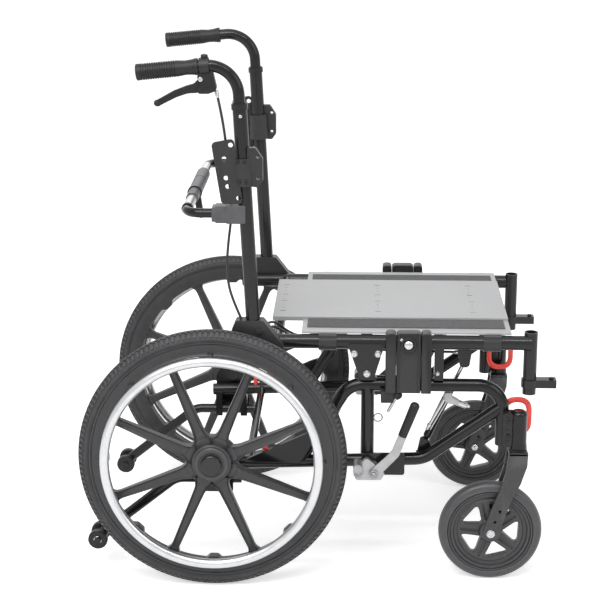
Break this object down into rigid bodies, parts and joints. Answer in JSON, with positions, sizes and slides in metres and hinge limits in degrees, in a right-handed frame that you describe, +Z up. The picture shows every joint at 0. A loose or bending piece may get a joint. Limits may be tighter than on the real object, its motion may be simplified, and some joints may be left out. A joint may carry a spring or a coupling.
{
  "type": "tilt in space wheelchair",
  "caption": "Manual wheelchair base whose seat frame tilts on gas springs, with spoked drive wheels, casters, wheel locks and push handles; no cushions or armrests.",
  "frame": {"origin": "on the floor under the middle of the chair's overall box", "axes": "+X to the front of the chair, +Y to the sitter's left, +Z up"},
  "size_m": [0.9209, 0.651, 1.0333],
  "materials": {
    "black_paint": "gloss powder coat",
    "black_plastic": "satin moulded",
    "black_gloss_plastic": "gloss moulded",
    "grey_rubber": "dull rubber",
    "grip_rubber": "dull rubber",
    "bright_alloy": "polished",
    "bright_steel": "bright plated",
    "cast_alloy": "satin cast",
    "grey_steel": "satin",
    "grey_paint": "satin powder coat",
    "dark_grey_pad": "matt",
    "red_paint": "gloss powder coat",
    "grey_plastic": "satin moulded"
  },
  "bodies": {
    "base": {"upper_frame_tubes": "black_paint", "lower_frame_tubes": "black_paint", "frame_posts": "black_paint", "frame_cross_tube": "black_paint", "frame_gussets": "black_paint", "axle_plates": "black_paint", "caster_housings": "black_paint", "front_tie_downs": "red_paint", "rear_tie_downs": "red_paint", "anti_tip_arms": "black_paint", "pivot_lugs": "black_paint", "wheel_lock_bodies": "cast_alloy"},
    "seat": {"seat_rails": "black_paint", "seat_cross_tubes": "black_paint", "legrest_receivers": "black_paint", "pivot_plates": "black_paint", "stop_straps": "black_paint", "seat_screws": "bright_steel", "spring_brackets": "black_paint", "seat_pan": "grey_paint", "side_strips": "dark_grey_pad", "pan_saddles": "black_plastic", "armrest_receivers": "black_plastic", "back_canes": "black_paint", "cane_brackets": "black_plastic", "handle_tubes": "black_paint", "hand_grips": "grip_rubber", "back_plates": "black_plastic", "rear_bar": "black_paint", "rear_bar_clamps": "grey_plastic", "trigger_clamp": "black_plastic", "tilt_cables": "black_plastic"},
    "gas_spring_barrels": {"gas_spring_barrels": "black_paint"},
    "gas_spring_rods": {"gas_spring_rods": "bright_steel"},
    "trigger_lever": {"trigger_lever": "black_plastic"},
    "rear_wheel_right": {"rear_tyre_right": "grey_rubber", "mag_wheel_right": "black_gloss_plastic", "handrim_right": "bright_alloy", "hub_cap_right": "black_gloss_plastic"},
    "caster_fork_right": {"caster_fork_right": "black_paint"},
    "caster_wheel_right": {"caster_tyre_right": "grey_rubber", "caster_wheel_right": "black_plastic"},
    "anti_tip_rollers_right": {"anti_tip_rollers_right": "black_plastic"},
    "lock_lever_right": {"lock_lever_right": "cast_alloy", "lock_grip_right": "grip_rubber"},
    "lock_shoe_right": {"lock_shoe_right": "grey_steel"},
    "armrest_button_right": {"armrest_button_right": "bright_steel"},
    "rear_wheel_left": {"rear_tyre_left": "grey_rubber", "mag_wheel_left": "black_gloss_plastic", "handrim_left": "bright_alloy", "hub_cap_left": "black_gloss_plastic"},
    "caster_fork_left": {"caster_fork_left": "black_paint"},
    "caster_wheel_left": {"caster_tyre_left": "grey_rubber", "caster_wheel_left": "black_plastic"},
    "anti_tip_rollers_left": {"anti_tip_rollers_left": "black_plastic"},
    "lock_lever_left": {"lock_lever_left": "cast_alloy", "lock_grip_left": "grip_rubber"},
    "lock_shoe_left": {"lock_shoe_left": "grey_steel"},
    "armrest_button_left": {"armrest_button_left": "bright_steel"}
  },
  "joints": [
    {"name": "rear_wheel_spin_right", "type": "hinge", "parent": "base", "child": "rear_wheel_right", "pos_m": [-0.2005, -0.284, 0.26], "axis": [0, 1, 0], "continuous": true},
    {"name": "caster_swivel_right", "type": "hinge", "parent": "base", "child": "caster_fork_right", "pos_m": [0.3895, -0.24, 0.273], "axis": [0, 0, 1], "continuous": true},
    {"name": "caster_spin_right", "type": "hinge", "parent": "caster_fork_right", "child": "caster_wheel_right", "pos_m": [0.3405, -0.24, 0.1015], "axis": [0, 1, 0], "continuous": true},
    {"name": "anti_tip_spin_right", "type": "hinge", "parent": "base", "child": "anti_tip_rollers_right", "pos_m": [-0.4375, -0.206, 0.064], "axis": [0, 1, 0], "continuous": true},
    {"name": "wheel_lock_right", "type": "hinge", "parent": "base", "child": "lock_lever_right", "pos_m": [0.1105, -0.255, 0.224], "axis": [0, -1, 0], "range_deg": [0, 50]},
    {"name": "lock_shoe_turn_right", "type": "hinge", "parent": "base", "child": "lock_shoe_right", "pos_m": [0.0805, -0.255, 0.226], "axis": [0, -1, 0], "range_deg": [0, 31]},
    {"name": "armrest_button_push_right", "type": "slide", "parent": "seat", "child": "armrest_button_right", "axis": [0, 1, 0], "range_m": [0, 0.003], "stiffness_N_per_m": 300, "springref_m": -0.002},
    {"name": "rear_wheel_spin_left", "type": "hinge", "parent": "base", "child": "rear_wheel_left", "pos_m": [-0.2005, 0.284, 0.26], "axis": [0, 1, 0], "continuous": true},
    {"name": "caster_swivel_left", "type": "hinge", "parent": "base", "child": "caster_fork_left", "pos_m": [0.3895, 0.24, 0.273], "axis": [0, 0, 1], "continuous": true},
    {"name": "caster_spin_left", "type": "hinge", "parent": "caster_fork_left", "child": "caster_wheel_left", "pos_m": [0.3405, 0.24, 0.1015], "axis": [0, 1, 0], "continuous": true},
    {"name": "anti_tip_spin_left", "type": "hinge", "parent": "base", "child": "anti_tip_rollers_left", "pos_m": [-0.4375, 0.206, 0.064], "axis": [0, 1, 0], "continuous": true},
    {"name": "wheel_lock_left", "type": "hinge", "parent": "base", "child": "lock_lever_left", "pos_m": [0.1105, 0.255, 0.224], "axis": [0, -1, 0], "range_deg": [0, 50]},
    {"name": "lock_shoe_turn_left", "type": "hinge", "parent": "base", "child": "lock_shoe_left", "pos_m": [0.0805, 0.255, 0.226], "axis": [0, -1, 0], "range_deg": [0, 31]},
    {"name": "armrest_button_push_left", "type": "slide", "parent": "seat", "child": "armrest_button_left", "axis": [0, -1, 0], "range_m": [0, 0.003], "stiffness_N_per_m": 300, "springref_m": -0.002},
    {"name": "seat_tilt", "type": "hinge", "parent": "base", "child": "seat", "pos_m": [0.0955, 0, 0.421], "axis": [0, -1, 0], "range_deg": [0, 20]},
    {"name": "gas_spring_turn", "type": "hinge", "parent": "base", "child": "gas_spring_barrels", "pos_m": [0.2095, 0, 0.268], "axis": [0, -1, 0], "range_deg": [0, 11]},
    {"name": "gas_spring_stroke", "type": "slide", "parent": "gas_spring_barrels", "child": "gas_spring_rods", "axis": [0.4117, 0, 0.9113], "range_m": [0, 0.057]},
    {"name": "tilt_release", "type": "hinge", "parent": "seat", "child": "trigger_lever", "pos_m": [-0.2145, -0.245, 0.985], "axis": [0, 1, 0], "range_deg": [0, 16], "stiffness_Nm_per_rad": 0.5, "springref_deg": -8.59}
  ],
  "couplings": [
    {"joint": "lock_shoe_turn_right", "follows": "wheel_lock_right", "ratio": 0.6},
    {"joint": "lock_shoe_turn_left", "follows": "wheel_lock_left", "ratio": 0.6},
    {"joint": "gas_spring_turn", "follows": "seat_tilt", "ratio": 0.494},
    {"joint": "gas_spring_stroke", "follows": "seat_tilt", "m_per_rad": 0.1595}
  ]
}
